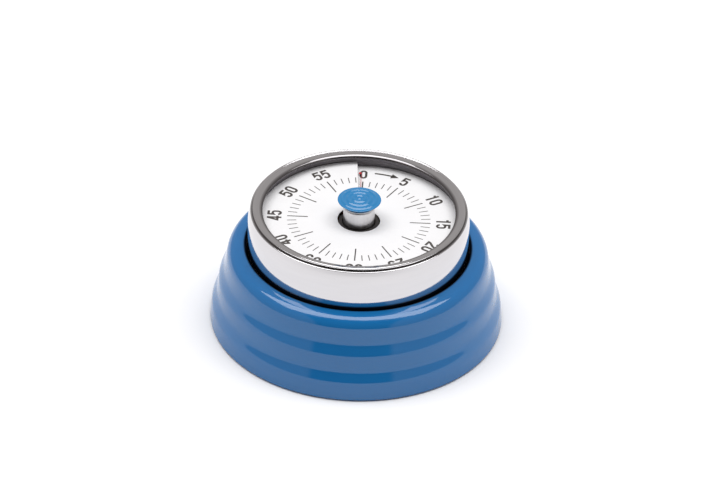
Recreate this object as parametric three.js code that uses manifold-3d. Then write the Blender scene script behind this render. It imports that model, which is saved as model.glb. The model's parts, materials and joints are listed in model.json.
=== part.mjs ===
// A mechanical sixty-minute kitchen timer. A ribbed, lacquered steel shell stands on a rubber ring and
// holds a chromed can. In the can a mainspring drives a wheel train and a bell, and on top of it a white
// dial with a slit lets a red time disc come out over the minutes as the knob is turned clockwise.
// Millimetres, +Z up. The origin is the middle of the footprint on the table, and the dial's zero is at +Y.
import * as THREE from "three";
import { mergeVertices } from "three/addons/utils/BufferGeometryUtils.js";
import Module from "manifold-3d";

const wasm = await Module();
wasm.setup();

// ---- driving dimensions ----
const GAP = 0.15; // between neighbouring pieces that touch on the real timer
const TURN = 2 * Math.PI;
const FINE = 48; // segments round the large turned pieces
const COARSE = 16; // segments round the small ones

const shell = { foot: 0.4, wall: 0.9, footRadius: 35, lipRadius: 27.25, top: 20.9 };
const ribs = { middle: { z: 6.9, radius: 32.9 }, upper: { z: 13.4, radius: 31.0 } };
const cover = { radius: 32.5, z: 1.0, thickness: 1.4, screwCircle: 27.8 };
const magnet = { radius: 10, z: 0.6, thickness: 2.0 };
const footRing = { inner: 30.5, outer: 33.2, thickness: 0.85 };
const frame = { inner: 26.6, outer: 28.1, shelf: 9.2, top: 19.0, flange: 30.4 };
const can = { radius: 26.3, wall: 0.6, z: 9.5, top: 30.15 };
const bezel = { outer: 25.9, inner: 22.65, tuck: 29.4, z: 30.3, top: 30.9 };
const dial = { radius: 23.9, hole: 5.05, low: 27.0, rise: 1.2, thickness: 0.25, slit: -4.2 };
const dialLean = 0.0175; // how much the dial rises per millimetre towards its fifteen minute side
const film = { radius: 18.1, thickness: 0.12, below: 0.415, sleeve: 4.8, sleeveTop: 27.2 };
const pointer = { angle: -1.15, width: 0.25, tipRadius: 0.5, tipAt: 20.2, tipAngle: -2.3 };
const knob = { radius: 5.15, top: 33.9, rim: 33.35, under: 32.5, stem: 3.73 };
const plate = { radius: 24.9, thickness: 1.0, lower: 10.4, upper: 23.2, pillarCircle: 20.2 };
const arbor = { radius: 1.5, pivot: 0.6 };
const spring = { turns: 5, thickness: 0.35, inner: 1.8, outer: 8.4, steps: 60, z: 12.1, height: 3.4 };
const bell = { radius: 16, wall: 0.8, top: 8.3, rim: 4.2 };

// The wheel train: each wheel drives the next one's pinion. Modules are in millimetres.
const train = {
  main: { teeth: 48, module: 0.5, z: 18.4 },
  second: { pinion: 8, module: 0.5, teeth: 45, wheelModule: 0.4, z: 16.2, heading: 200 },
  third: { pinion: 8, module: 0.4, teeth: 40, wheelModule: 0.4, z: 21.1, turn: 41.7, reach: 15.5 },
  escape: { pinion: 8, module: 0.4, teeth: 18, radius: 6.0, z: 16.2, turn: 37.5, reach: 14.0 },
  verge: { turn: 34.3, reach: 15.0, distance: 8.6, z: 16.2 },
  thickness: 0.8,
};
const hammer = { heading: 45, reach: 19.5, z: 21.1, headZ: 4.6 };

// ---- finishes ----
const finish = (color, roughness, metalness) =>
  new THREE.MeshStandardMaterial({ color, roughness, metalness });
const blueLacquer = finish(0x1f6fb2, 0.12, 0);
const chrome = finish(0xd8d8dc, 0.08, 1);
const whitePrint = finish(0xf1f1f2, 0.6, 0);
const redFilm = finish(0xc8343c, 0.35, 0);
const blackPlastic = finish(0x26211f, 0.5, 0);
const greyPlastic = finish(0x6d6b70, 0.45, 0);
const rubber = finish(0x1c1c1c, 0.9, 0);
const steel = finish(0x9a9ca0, 0.3, 1);
const brass = finish(0xb89a4e, 0.3, 1);
const magnetGrey = finish(0x4a4a4c, 0.6, 0.4);

// ---- tools ----
const polar = (radius, degrees) => {
  const a = THREE.MathUtils.degToRad(degrees);
  return new THREE.Vector2(radius * Math.cos(a), radius * Math.sin(a));
};

// Clockwise degrees from the zero mark, as a dial counts, to an anticlockwise heading from +X.
const fromZero = (degrees) => 90 - degrees;

// A profile of [radius, z] points turned about Z. A ring's profile closes on itself.
function turned(points, segments = FINE) {
  const onAxis = points[0][0] === 0;
  const loop = onAxis ? points : [...points, points[0]];
  let area = 0;
  loop.forEach(([r, z], i) => {
    const [nextR, nextZ] = loop[(i + 1) % loop.length];
    area += r * nextZ - nextR * z;
  });
  const ordered = area < 0 ? [...loop].reverse() : loop;
  const profile = ordered.map(([r, z]) => new THREE.Vector2(r, z));
  return new THREE.LatheGeometry(profile, segments).rotateX(Math.PI / 2);
}

// A plain tube or rod about Z at a place.
function rod(outer, from, to, { inner = 0, at = new THREE.Vector2(), segments = COARSE } = {}) {
  const wall = [[outer, from], [outer, to]];
  const core = inner ? [[inner, to], [inner, from]] : [[0, to]];
  const profile = inner ? [...wall, ...core] : [[0, from], ...wall, ...core];
  return turned(profile, segments).translate(at.x, at.y, 0);
}

function extruded(shape, z, thickness, curveSegments = 12) {
  const options = { depth: thickness, bevelEnabled: false, curveSegments };
  return new THREE.ExtrudeGeometry(shape, options).translate(0, 0, z);
}

const circle = (radius, at = new THREE.Vector2()) =>
  new THREE.Path().absarc(at.x, at.y, radius, 0, TURN, true);

const disc = (radius) => new THREE.Shape().absarc(0, 0, radius, 0, TURN, false);

// Booleans: a geometry as a solid, and a solid as a geometry.
function solid(geometry) {
  const bare = geometry.index ? geometry.toNonIndexed() : geometry.clone();
  bare.deleteAttribute("normal");
  bare.deleteAttribute("uv");
  const merged = mergeVertices(bare, 1e-3);
  const vertProperties = merged.attributes.position.array;
  const triVerts = new Uint32Array(merged.index.array);
  return new wasm.Manifold(new wasm.Mesh({ numProp: 3, vertProperties, triVerts }));
}

function geometryOf(made) {
  const { vertProperties, triVerts } = made.getMesh();
  return new THREE.BufferGeometry()
    .setAttribute("position", new THREE.BufferAttribute(vertProperties, 3))
    .setIndex(new THREE.BufferAttribute(triVerts, 1));
}

const join = (first, ...others) =>
  geometryOf(others.reduce((sum, other) => sum.add(solid(other)), solid(first)));
const cut = (first, ...others) =>
  geometryOf(others.reduce((rest, other) => rest.subtract(solid(other)), solid(first)));

// A flat band swept clockwise from the dial's slit. bottom and top give z at a share of a turn, and a
// leaning surface rises towards +X.
function rampBand({ inner, outer, bottom, top, from = 0, to = 1, steps = 48, leans = [0, 0] }) {
  const positions = [];
  const faces = [];
  for (let i = 0; i <= steps; i++) {
    const share = from + ((to - from) * i) / steps;
    const a = share * TURN + THREE.MathUtils.degToRad(dial.slit);
    const [x, y] = [Math.sin(a), Math.cos(a)];
    const level = (radius, face) => [bottom, top][face](share) + leans[face] * radius * x;
    const corner = (radius, face) => [radius * x, radius * y, level(radius, face)];
    positions.push(...corner(inner, 0), ...corner(outer, 0), ...corner(outer, 1), ...corner(inner, 1));
    if (i === steps) continue;
    for (let k = 0; k < 4; k++) {
      const [a0, a1] = [4 * i + k, 4 * i + ((k + 1) % 4)];
      faces.push(a0, a1, a0 + 4, a1, a1 + 4, a0 + 4);
    }
  }
  const last = 4 * steps;
  faces.push(0, 2, 1, 0, 3, 2, last, last + 1, last + 2, last, last + 2, last + 3);
  return new THREE.BufferGeometry()
    .setAttribute("position", new THREE.Float32BufferAttribute(positions, 3))
    .setIndex(faces);
}

const dialTop = (share) => dial.low + dial.rise * share;

// The outline of a spur gear: involute flanks with a little backlash.
function gearShape({ teeth, module, addendum, dedendum, phase = 0, bore }) {
  const pitch = (teeth * module) / 2;
  const [tip, root] = [pitch + addendum * module, pitch - dedendum * module];
  const baseCircle = pitch * Math.cos(THREE.MathUtils.degToRad(20));
  const involute = (r) => {
    const t = Math.acos(Math.min(1, baseCircle / r));
    return Math.tan(t) - t;
  };
  const backlash = 0.16; // share of the tooth thickness taken off
  const halfPitch = (Math.PI / 2 / teeth) * (1 - backlash);
  const halfAt = (r) => halfPitch + involute(pitch) - involute(Math.max(r, baseCircle));
  const radii = teeth < 12 ? [root, baseCircle, pitch, tip] : [root, tip];
  const shape = new THREE.Shape();
  for (let i = 0; i < teeth; i++) {
    const centre = phase + (i * TURN) / teeth;
    const rising = radii.map((r) => [r, centre - halfAt(r)]);
    const falling = [...radii].reverse().map((r) => [r, centre + halfAt(r)]);
    [...rising, ...falling].forEach(([r, a], k) => {
      const point = [r * Math.cos(a), r * Math.sin(a)];
      if (i === 0 && k === 0) shape.moveTo(...point);
      else shape.lineTo(...point);
    });
  }
  shape.closePath();
  if (bore) shape.holes.push(circle(bore));
  return shape;
}

const wheelTeeth = { addendum: 0.5, dedendum: 1.25 };
const pinionTeeth = { addendum: 0.9, dedendum: 0.75 };

// The phase that puts a pinion in mesh with a wheel whose first tooth stands at wheelPhase.
function meshPhase(wheelTeethCount, wheelPhase, pinionTeethCount, heading) {
  const step = TURN / wheelTeethCount;
  const offset = wheelPhase - heading;
  const nearest = offset - step * Math.round(offset / step);
  const gap = heading + Math.PI + Math.PI / pinionTeethCount;
  return gap - (nearest * wheelTeethCount) / pinionTeethCount;
}

// ---- the places of the arbors ----
const headingOf = (from, to) => Math.atan2(to.y - from.y, to.x - from.x);
const centre = new THREE.Vector2();
const secondDistance = ((train.main.teeth + train.second.pinion) * train.main.module) / 2;
const secondAt = polar(secondDistance, train.second.heading);
const thirdHeading = train.second.heading + train.third.turn;
const thirdAt = polar(train.third.reach, thirdHeading);
const escapeHeading = thirdHeading + train.escape.turn;
const escapeAt = polar(train.escape.reach, escapeHeading);
const vergeAt = polar(train.verge.reach, escapeHeading + train.verge.turn);
const hammerAt = polar(hammer.reach, hammer.heading);
const pillarsAt = [90, 165, 345].map((heading) => polar(plate.pillarCircle, heading));
const screwsAt = [30, 150, 270].map((heading) => polar(cover.screwCircle, heading));

const timer = new THREE.Group();
function piece(name, geometry, material) {
  const mesh = new THREE.Mesh(geometry, material);
  mesh.name = name;
  timer.add(mesh);
  return mesh;
}

// ---- case ----
// Each rib is a wall that leans inwards more and more steeply up to the crease under the next one.
function ribOutline(footRadius, footZ, topRadius, topZ, steps = 4) {
  const lean = 2.4;
  return Array.from({ length: steps }, (_, i) => {
    const share = i / steps;
    const radius = footRadius - (footRadius - topRadius) * share ** lean;
    return [radius, footZ + (topZ - footZ) * share];
  });
}

function baseShell() {
  const { foot, wall, footRadius, lipRadius, top } = shell;
  const { middle, upper } = ribs;
  const shoulder = new THREE.EllipseCurve(28.1, upper.z, 2.9, top - upper.z, 0, Math.PI / 2);
  const outside = [
    ...ribOutline(footRadius, foot, middle.radius, middle.z),
    ...ribOutline(middle.radius, middle.z, upper.radius, upper.z),
    ...shoulder.getPoints(5).map((p) => [p.x, p.y]),
    [lipRadius + 0.2, top - 0.3],
    [lipRadius, top - 0.9],
  ];
  const inside = [
    [lipRadius, top - 1.5],
    [28.4, top - 1.2],
    [29.4, top - 3.5],
    [upper.radius - wall, upper.z],
    [middle.radius - wall, middle.z],
    [footRadius - wall, foot],
  ];
  piece("base_shell", turned([...outside, ...inside]), blueLacquer);
}

function bottomCover() {
  const { radius, z, thickness, screwCircle } = cover;
  const [top, rimTop] = [z + thickness, z + 3.2];
  const pocket = { wall: magnet.radius + GAP, roof: magnet.z + magnet.thickness + GAP };
  const body = turned([
    [0, pocket.roof],
    [pocket.wall, pocket.roof],
    [pocket.wall, z],
    [radius + 1, z],
    [radius + 1, z + 0.5],
    [radius, z + 0.5],
    [radius, rimTop - 1.2],
    [radius - 0.9, rimTop - 1.2],
    [radius - 0.9, top],
    [pocket.wall + 0.9, top],
    [pocket.wall + 0.9, pocket.roof + 0.9],
    [0, pocket.roof + 0.9],
  ]);
  const holes = screwsAt.map((at) => rod(1.25, z - 1, top + 1, { at }));
  const sinks = screwsAt.map((at) => rod(2.5, z - 1, z + 0.7, { at }));
  const slots = [];
  for (let i = 0; i < 12; i++) {
    const slot = new THREE.BoxGeometry(7, 2.2, 6).translate(19, 0, z);
    slots.push(slot.rotateZ((i * TURN) / 12 + TURN / 24));
  }
  piece("bottom_cover", cut(body, ...holes, ...sinks, ...slots), blackPlastic);

  screwsAt.forEach((at, i) => {
    const [headTop, tip] = [z + 0.7 - GAP, z + 5.6];
    const head = [[0, z - 0.1], [2.2, z - 0.1], [2.2, headTop]];
    const profile = [...head, [1.0, headTop], [1.0, tip], [0, tip]];
    const arms = [0, Math.PI / 2].map((turn) =>
      new THREE.BoxGeometry(2.6, 0.5, 0.7).rotateZ(turn).translate(0, 0, z - 0.1),
    );
    const screw = cut(turned(profile, COARSE), ...arms).translate(at.x, at.y, 0);
    piece(`cover_screw_${i + 1}`, screw, steel);
  });

  const magnetTop = magnet.z + magnet.thickness;
  piece("magnet_disc", rod(magnet.radius, magnet.z, magnetTop, { segments: 32 }), magnetGrey);
  const { inner, outer, thickness: rubberThickness } = footRing;
  piece("foot_ring", rod(outer, 0, rubberThickness, { inner, segments: FINE }), rubber);
}

// The plastic frame that centres the can in the shell and takes the cover's screws.
function innerFrame() {
  const { inner, outer, shelf, top, flange } = frame;
  const body = turned([
    [24, shelf - 1.4],
    [flange, shelf - 1.4],
    [flange, shelf],
    [outer, shelf],
    [outer, top],
    [inner, top],
    [inner, shelf],
    [24, shelf],
  ], 48);
  const bosses = screwsAt.map((at) => rod(2.4, cover.z + cover.thickness + GAP, shelf - 1, { at }));
  const pilots = screwsAt.map((at) => rod(1.15, 1, shelf - 1.8, { at }));
  const posts = join(body, ...bosses);
  piece("inner_frame", cut(posts, ...pilots), blackPlastic);
}

function movementCan() {
  const { radius, wall, z, top } = can;
  const cup = turned([
    [0, z],
    [radius - 1, z],
    [radius, z + 1],
    [radius, top - 0.3],
    [radius - 0.3, top],
    [radius - wall, top],
    [radius - wall, z + wall],
    [0, z + wall],
  ]);
  const arborHole = rod(3, z - 1, z + 2);
  const hammerHole = rod(2, z - 1, z + 2, { at: hammerAt });
  piece("movement_can", cut(cup, arborHole, hammerHole), chrome);
}

// A shallow bead that leans in to the dial, with a collar that drops inside the can.
function bezelRing() {
  const { outer, inner, tuck, z, top } = bezel;
  piece("bezel_ring", turned([
    [outer, z],
    [outer, z + 0.15],
    [outer - 0.3, top - 0.15],
    [outer - 0.9, top],
    [outer - 1.9, top - 0.06],
    [inner + 0.3, top - 0.2],
    [inner, top - 0.4],
    [inner + 0.15, z - 0.05],
    [inner + 1.9, z - 0.05],
    [inner + 2.1, tuck],
    [inner + 2.8, tuck],
    [inner + 2.8, z],
  ]), chrome);
}

// ---- dial ----
function dialParts() {
  const seatTop = (share) => dialTop(share) - dial.thickness - 0.1;
  const seatFloor = plate.upper + plate.thickness + GAP;
  const bore = { inner: dial.radius + 0.2, segments: FINE };
  const wall = rod(dial.radius + 1.3, seatFloor, bezel.tuck - GAP, bore);
  const ledge = rampBand({
    inner: dial.radius - 1.6, outer: dial.radius + 0.5, bottom: () => seatFloor, top: seatTop, to: 0.997,
    leans: [0, dialLean],
  });
  piece("dial_seat", join(wall, ledge), greyPlastic);
  piece("dial_plate", rampBand({
    inner: dial.hole, outer: dial.radius, bottom: (share) => dialTop(share) - dial.thickness, top: dialTop,
    leans: [dialLean, dialLean],
  }), whitePrint);
}

function filmParts() {
  const filmTop = (share) => dialTop(share) - dial.thickness - film.below;
  piece("time_disc", rampBand({
    inner: film.sleeve + GAP, outer: film.radius, from: 0.022, to: 0.996, top: filmTop,
    bottom: (share) => filmTop(share) - film.thickness,
  }), redFilm);

  const sleeve = rod(film.sleeve, plate.upper + plate.thickness + 0.7, film.sleeveTop, {
    inner: knob.stem + 0.25, segments: 48,
  });
  piece("film_sleeve", sleeve, blackPlastic);

  // A thin hand lies on the low side of the slit, with its round tip a little behind its stem.
  const stemHeading = fromZero(pointer.angle);
  const stem = new THREE.Shape();
  const [rootEnd, tipEnd] = [film.sleeve + GAP, pointer.tipAt];
  const half = pointer.width / 2;
  stem.moveTo(rootEnd, -half).lineTo(tipEnd, -half).lineTo(tipEnd, half).lineTo(rootEnd, half);
  const level = dialTop(1 - dial.slit / 360 / 2) - dial.thickness - film.below - film.thickness;
  const bar = extruded(stem, level, film.thickness).rotateZ(THREE.MathUtils.degToRad(stemHeading));
  const tipAt = polar(pointer.tipAt, fromZero(pointer.tipAngle));
  const tip = rod(pointer.tipRadius, level, level + film.thickness, { at: tipAt, segments: 20 });
  piece("pointer", join(bar, tip), redFilm);
}

// ---- knob and main arbor ----
function knobParts() {
  const { radius, top, rim, under, stem } = knob;
  const ripples = Array.from({ length: 9 }, (_, i) => {
    const share = i / 8;
    const wave = 0.12 * Math.cos(share * 3 * TURN);
    return [(radius - 0.35) * share, top - 0.12 + wave - 0.3 * share ** 2];
  }).reverse();
  piece("knob_cap", turned([
    [0, under],
    [radius - 0.9, under],
    [radius - 0.1, rim - 0.25],
    [radius, rim],
    ...ripples.slice(0, -1),
    [0, top],
  ], 48), blueLacquer);

  const foot = plate.upper + plate.thickness + 0.7;
  piece("knob_stem", turned([
    [arbor.radius + 0.1, foot],
    [stem, foot],
    [stem, under - 1.2],
    [stem + 0.1, under - 0.9],
    [stem + 0.45, under - 0.5],
    [stem + 0.45, under - GAP],
    [arbor.radius + 0.1, under - GAP],
  ], 48), chrome);

  const { pivot } = arbor;
  piece("main_arbor", turned([
    [0, plate.lower - 0.8],
    [pivot, plate.lower - 0.8],
    [pivot, plate.lower + plate.thickness + 0.1],
    [arbor.radius, plate.lower + plate.thickness + 0.1],
    [arbor.radius, under - 0.5],
    [0, under - 0.5],
  ], COARSE), steel);

  // The wheel is loose on its arbor, and the ratchet above it drives it through the click.
  const hub = arbor.radius + 0.1;
  const main = gearShape({ ...train.main, ...wheelTeeth, bore: hub });
  const spokeHole = 2.9;
  for (let i = 0; i < 4; i++) main.holes.push(circle(spokeHole, polar(6.6, 45 + 90 * i)));
  piece("main_wheel", extruded(main, train.main.z, train.thickness, 8), brass);

  const ratchetZ = train.main.z + train.thickness + GAP;
  const ratchet = new THREE.Shape();
  const ratchetTeeth = 20;
  for (let i = 0; i < ratchetTeeth; i++) {
    const root = polar(3.6, (i * 360) / ratchetTeeth);
    const peak = polar(4.2, ((i + 0.9) * 360) / ratchetTeeth);
    if (i) ratchet.lineTo(root.x, root.y);
    else ratchet.moveTo(root.x, root.y);
    ratchet.lineTo(peak.x, peak.y);
  }
  ratchet.closePath();
  ratchet.holes.push(circle(hub));
  piece("ratchet_wheel", extruded(ratchet, ratchetZ, 0.7, 8), steel);

  const click = new THREE.Shape();
  click.moveTo(4.5, -0.2).lineTo(9.0, 1.6).lineTo(9.4, 3.2).lineTo(8.2, 3.4).lineTo(4.5, 0.5);
  piece("click_pawl", extruded(click, ratchetZ, 0.7).rotateZ(-Math.PI / 4), steel);

  const cam = new THREE.Shape().absarc(0, 0, 5.0, 0.35, TURN, false).lineTo(3.6, 0);
  cam.holes.push(circle(hub));
  piece("strike_cam", extruded(cam, hammer.z, 0.9, 14), steel);
}

// ---- movement ----
function platesAndPillars() {
  const { radius, thickness, lower, upper } = plate;
  const sockets = [secondAt, thirdAt, escapeAt, vergeAt];
  const lowerPlate = disc(radius);
  lowerPlate.holes.push(circle(arbor.pivot + 0.08));
  sockets.forEach((at) => lowerPlate.holes.push(circle(arbor.pivot + 0.08, at)));
  lowerPlate.holes.push(circle(1.1, hammerAt));
  piece("lower_plate", extruded(lowerPlate, lower, thickness, 8), brass);

  const upperPlate = disc(radius);
  upperPlate.holes.push(circle(arbor.radius + 0.08));
  [...sockets, hammerAt].forEach((at) => upperPlate.holes.push(circle(arbor.pivot + 0.08, at)));
  pillarsAt.forEach((at) => upperPlate.holes.push(circle(0.95, at)));
  piece("upper_plate", extruded(upperPlate, upper, thickness, 8), brass);

  const pillarBottom = lower + thickness + 0.1;
  pillarsAt.forEach((at, i) => {
    piece(`pillar_${i + 1}`, rod(1.5, pillarBottom, upper - 0.1, { at, inner: 0.9 }), steel);
    const profile = [
      [0, upper - 2],
      [0.8, upper - 2],
      [0.8, upper + thickness + 0.1],
      [1.4, upper + thickness + 0.1],
      [1.4, upper + thickness + 0.9],
      [0, upper + thickness + 0.9],
    ];
    piece(`plate_screw_${i + 1}`, turned(profile, 16).translate(at.x, at.y, 0), steel);
  });
}

// An arbor with its pinion cut on it and a thin pivot at each end.
function pinionArbor(at, phase, module, teeth, from, to) {
  const { pivot } = arbor;
  const [bottom, top] = [plate.lower + 0.15, plate.upper + plate.thickness - 0.15];
  const body = 1.0;
  const shaft = turned([
    [0, bottom],
    [pivot, bottom],
    [pivot, plate.lower + plate.thickness + 0.1],
    [body, plate.lower + plate.thickness + 0.1],
    [body, plate.upper - 0.1],
    [pivot, plate.upper - 0.1],
    [pivot, top],
    [0, top],
  ], 16);
  const leaves = extruded(gearShape({ teeth, module, ...pinionTeeth, phase }), from, to - from);
  return join(shaft, leaves).translate(at.x, at.y, 0);
}

function wheelTrain() {
  const { main, second, third, escape, thickness } = train;
  const bore = 1.0 + 0.1;

  const firstPhase = meshPhase(main.teeth, 0, second.pinion, headingOf(centre, secondAt));
  const mainMid = [main.z - 0.4, main.z + thickness + 0.4];
  const secondShaft = pinionArbor(secondAt, firstPhase, second.module, second.pinion, ...mainMid);
  piece("second_pinion", secondShaft, steel);
  const secondGear = gearShape({ teeth: second.teeth, module: second.wheelModule, ...wheelTeeth, bore });
  for (let i = 0; i < 4; i++) secondGear.holes.push(circle(2.3, polar(5.1, 90 * i)));
  const secondWheel = extruded(secondGear, second.z, thickness, 8);
  piece("second_wheel", secondWheel.translate(secondAt.x, secondAt.y, 0), brass);

  const secondPhase = meshPhase(second.teeth, 0, third.pinion, headingOf(secondAt, thirdAt));
  const secondMid = [second.z - 0.4, second.z + thickness + 0.4];
  const thirdShaft = pinionArbor(thirdAt, secondPhase, third.module, third.pinion, ...secondMid);
  piece("third_pinion", thirdShaft, steel);
  const thirdGear = gearShape({ teeth: third.teeth, module: third.wheelModule, ...wheelTeeth, bore });
  for (let i = 0; i < 4; i++) thirdGear.holes.push(circle(2.0, polar(4.5, 90 * i)));
  const thirdWheel = extruded(thirdGear, third.z, thickness, 8);
  piece("third_wheel", thirdWheel.translate(thirdAt.x, thirdAt.y, 0), brass);

  const thirdPhase = meshPhase(third.teeth, 0, escape.pinion, headingOf(thirdAt, escapeAt));
  const thirdMid = [third.z - 0.4, third.z + thickness + 0.4];
  const escapeShaft = pinionArbor(escapeAt, thirdPhase, escape.module, escape.pinion, ...thirdMid);
  piece("escape_pinion", escapeShaft, steel);

  // Hooked teeth, each with a steep front and a long sloping back.
  const crown = new THREE.Shape();
  for (let i = 0; i < escape.teeth; i++) {
    const step = 360 / escape.teeth;
    const foot = polar(4.7, i * step);
    const [front, back] = [i, i + 0.12].map((share) => polar(escape.radius, share * step));
    if (i) crown.lineTo(foot.x, foot.y);
    else crown.moveTo(foot.x, foot.y);
    crown.lineTo(front.x, front.y).lineTo(back.x, back.y);
  }
  crown.closePath();
  crown.holes.push(circle(bore));
  const crownWheel = extruded(crown, escape.z, thickness, 8);
  piece("escape_wheel", crownWheel.translate(escapeAt.x, escapeAt.y, 0), brass);
}

// The lever's two pallets straddle the escape wheel, and the balance wheel under it sets the beat.
function escapement() {
  const { verge, escape, thickness } = train;
  const towardsWheel = headingOf(vergeAt, escapeAt);
  const span = THREE.MathUtils.degToRad(40);
  const clear = escape.radius + 0.42;
  const pallet = (side) => {
    const [x, y] = [verge.distance - clear * Math.cos(span), side * clear * Math.sin(span)];
    return new THREE.Vector2(x, y);
  };
  const [left, right] = [pallet(1), pallet(-1)];
  const lever = new THREE.Shape();
  lever.moveTo(-1.6, -1.2).lineTo(2.2, -2.0);
  lever.lineTo(right.x - 0.2, right.y - 1.0).lineTo(right.x, right.y);
  lever.lineTo(1.7, -1.0).lineTo(1.7, 1.0);
  lever.lineTo(left.x, left.y).lineTo(left.x - 0.2, left.y + 1.0);
  lever.lineTo(2.2, 2.0).lineTo(-1.6, 1.2);
  lever.closePath();
  lever.holes.push(circle(0.8));
  const plateLever = extruded(lever, verge.z, thickness, 6).rotateZ(towardsWheel);
  piece("verge_lever", plateLever.translate(vergeAt.x, vergeAt.y, 0), steel);

  const staff = turned([
    [0, plate.lower + 0.15],
    [arbor.pivot, plate.lower + 0.15],
    [arbor.pivot, plate.upper + plate.thickness - 0.15],
    [0, plate.upper + plate.thickness - 0.15],
  ], 16);
  piece("verge_arbor", staff.translate(vergeAt.x, vergeAt.y, 0), steel);

  const rim = disc(5.2);
  rim.holes.push(circle(0.7));
  [45, 225].forEach((heading) => rim.holes.push(circle(1.6, polar(2.9, heading))));
  const balance = extruded(rim, plate.lower + plate.thickness + 1.4, 1.0, 10);
  piece("balance_wheel", balance.translate(vergeAt.x, vergeAt.y, 0), brass);
}

// A flat spiral strip from the arbor out to its post.
function mainspring() {
  const { turns, thickness, inner, outer, steps, z, height } = spring;
  const side = (offset) => Array.from({ length: steps + 1 }, (_, i) => {
    const share = i / steps;
    const radius = inner + (outer - inner) * share + offset;
    return polar(radius, share * turns * 360 + 60);
  });
  const strip = new THREE.Shape([...side(0), ...side(thickness).reverse()]);
  piece("mainspring", extruded(strip, z, height), steel);
  const postAt = { at: polar(10.0, 63), segments: 16 };
  const post = rod(0.8, plate.lower + plate.thickness + 0.1, z + height + 0.4, postAt);
  piece("spring_post", post, steel);
}

// ---- bell ----
function bellParts() {
  const { radius, wall, top, rim } = bell;
  piece("bell", turned([
    [1.7, top - wall],
    [11.5, top - wall],
    [14.2, top - wall - 0.9],
    [radius - wall, rim],
    [radius, rim],
    [15.2, top - 1.2],
    [12, top],
    [1.7, top],
  ], 48), steel);
  piece("bell_post", turned([
    [0, top - wall - 1.2],
    [2.6, top - wall - 1.2],
    [2.6, top - wall - GAP],
    [1.5, top - wall - GAP],
    [1.5, can.z - GAP],
    [0, can.z - GAP],
  ], COARSE), steel);

  const arborTop = plate.upper + plate.thickness - 0.15;
  const staff = rod(0.55, hammer.headZ + 0.2, arborTop, { at: hammerAt, segments: 16 });
  piece("hammer_arbor", staff, steel);
  const inwards = headingOf(hammerAt, centre);
  const lever = new THREE.Shape();
  lever.moveTo(-1.5, -1.2).lineTo(4, -1.1).lineTo(13.9, -0.4);
  lever.lineTo(13.9, 0.4).lineTo(4, 1.1).lineTo(-1.5, 1.2);
  lever.closePath();
  lever.holes.push(circle(0.65));
  const follower = extruded(lever, hammer.z, 0.8, 6).rotateZ(inwards);
  piece("hammer_lever", follower.translate(hammerAt.x, hammerAt.y, 0), steel);

  // The arm swings out along the bell's rim and ends in a round head.
  const arm = new THREE.Shape();
  arm.moveTo(-1.4, -1.0).lineTo(7.0, -0.6).lineTo(7.0, 0.6).lineTo(-1.4, 1.0);
  arm.closePath();
  arm.holes.push(circle(0.65));
  const headTurn = inwards + THREE.MathUtils.degToRad(78);
  const bar = extruded(arm, hammer.headZ + 0.4, 1.0, 6);
  const headAt = { at: new THREE.Vector2(7.2, 0), segments: 16 };
  const head = rod(1.5, hammer.headZ, hammer.headZ + 2.4, headAt);
  const striker = join(bar, head).rotateZ(headTurn).translate(hammerAt.x, hammerAt.y, 0);
  piece("hammer_head", striker, brass);
}

baseShell();
bottomCover();
innerFrame();
movementCan();
bezelRing();
dialParts();
filmParts();
knobParts();
platesAndPillars();
wheelTrain();
escapement();
mainspring();
bellParts();

export default timer;
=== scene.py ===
import bpy
import json
import math
import numpy as np
from mathutils import Matrix, Vector


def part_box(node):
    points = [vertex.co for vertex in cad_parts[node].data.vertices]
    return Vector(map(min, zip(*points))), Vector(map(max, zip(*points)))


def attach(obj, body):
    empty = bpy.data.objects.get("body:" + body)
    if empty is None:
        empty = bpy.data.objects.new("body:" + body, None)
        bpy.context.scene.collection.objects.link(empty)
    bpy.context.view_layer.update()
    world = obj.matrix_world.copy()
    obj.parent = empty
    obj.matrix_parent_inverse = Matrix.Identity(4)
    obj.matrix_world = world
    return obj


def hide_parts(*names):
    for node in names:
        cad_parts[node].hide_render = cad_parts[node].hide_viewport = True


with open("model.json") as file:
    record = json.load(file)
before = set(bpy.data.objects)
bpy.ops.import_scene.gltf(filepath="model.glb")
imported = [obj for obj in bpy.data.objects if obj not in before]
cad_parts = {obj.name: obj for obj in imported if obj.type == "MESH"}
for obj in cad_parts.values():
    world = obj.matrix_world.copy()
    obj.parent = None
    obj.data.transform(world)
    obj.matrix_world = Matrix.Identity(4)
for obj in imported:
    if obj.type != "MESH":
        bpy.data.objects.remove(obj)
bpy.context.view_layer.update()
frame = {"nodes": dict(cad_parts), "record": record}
mm = 0.001

camera = {
    "target": (0.0, 0.0, 0.015),
    "distance": 1.030,
    "turn": 2.37,  # degrees round from straight in front, towards the fifteen
    "elevation": 35.1,
    "roll": 1.75,
    "lens": 216.0,
    "shift": (0.0035, 0.0322),
}


def placeCamera(c):
    turn, rise = math.radians(c["turn"]), math.radians(c["elevation"])
    away = Vector((math.sin(turn) * math.cos(rise), -math.cos(turn) * math.cos(rise), math.sin(rise)))
    data = bpy.data.cameras.new("studioCamera")
    data.lens = c["lens"]
    data.shift_x, data.shift_y = c["shift"]
    data.clip_start = 0.01
    eye = bpy.data.objects.new("studioCamera", data)
    look = away.to_track_quat("Z", "Y").to_matrix().to_4x4()
    spot = Matrix.Translation(Vector(c["target"]) + away * c["distance"])
    eye.matrix_world = spot @ look @ Matrix.Rotation(math.radians(c["roll"]), 4, "Z")
    bpy.context.scene.collection.objects.link(eye)
    bpy.context.scene.camera = eye


# an sRGB hex string as linear red, green, blue and a full alpha
def toLinear(hexColour):
    parts = [int(hexColour[i : i + 2], 16) / 255 for i in (1, 3, 5)]
    return [p / 12.92 if p <= 0.04045 else ((p + 0.055) / 1.055) ** 2.4 for p in parts] + [1.0]


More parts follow.
